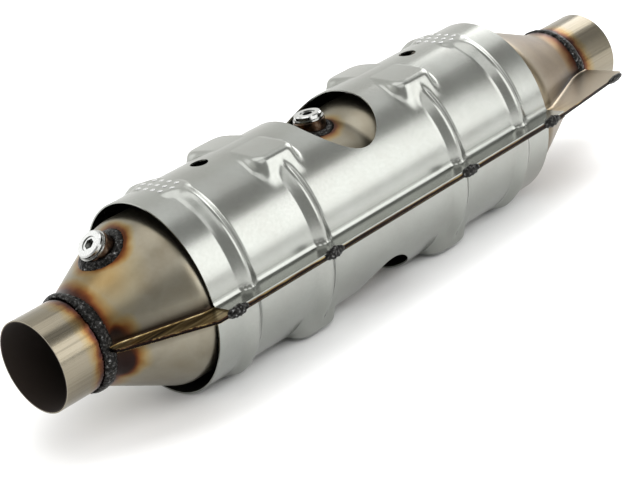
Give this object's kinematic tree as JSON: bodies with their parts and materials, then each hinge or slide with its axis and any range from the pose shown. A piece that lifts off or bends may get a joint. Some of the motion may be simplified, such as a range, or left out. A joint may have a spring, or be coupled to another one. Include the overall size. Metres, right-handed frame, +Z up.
{
  "type": "catalytic converter",
  "caption": "Exhaust catalytic converter: a welded clamshell can with coned ends and pipe stubs, stamped heat shields and plugged sensor ports.",
  "frame": {"origin": "centre of the inlet pipe's mouth", "axes": "+X along the exhaust flow from inlet to outlet, +Z up towards the sensor plugs, seam flange in the XY plane"},
  "size_m": [0.679, 0.1964, 0.165],
  "materials": {
    "pipe": "drawn stainless tube, straw tint near the welds",
    "can": "pressed stainless sheet with heat tint",
    "shield": "satin aluminised steel sheet",
    "brick": "matt coated honeycomb",
    "mat": "matt fibre mat",
    "wire_seal": "knitted wire",
    "weld": "dark oxidised weld metal",
    "boss": "turned steel, darkened by heat",
    "washer": "bright sealing washer",
    "plug": "bright zinc plated steel"
  },
  "bodies": {
    "root": {"inlet_pipe": "pipe", "outlet_pipe": "pipe", "upper_body_shell": "can", "lower_body_shell": "can", "upper_heat_shield": "shield", "lower_heat_shield": "shield", "front_substrate": "brick", "rear_substrate": "brick", "front_support_mat": "mat", "rear_support_mat": "mat", "front_brick_inlet_seal": "wire_seal", "front_brick_outlet_seal": "wire_seal", "rear_brick_inlet_seal": "wire_seal", "rear_brick_outlet_seal": "wire_seal", "inlet_weld": "weld", "outlet_weld": "weld", "shield_tack_welds": "weld", "left_fin_weld": "weld", "right_fin_weld": "weld", "front_sensor_boss": "boss", "middle_sensor_boss": "boss", "front_boss_weld": "weld", "middle_boss_weld": "weld", "front_plug_washer": "washer", "middle_plug_washer": "washer", "front_sensor_plug": "plug", "middle_sensor_plug": "plug"}
  },
  "joints": []
}
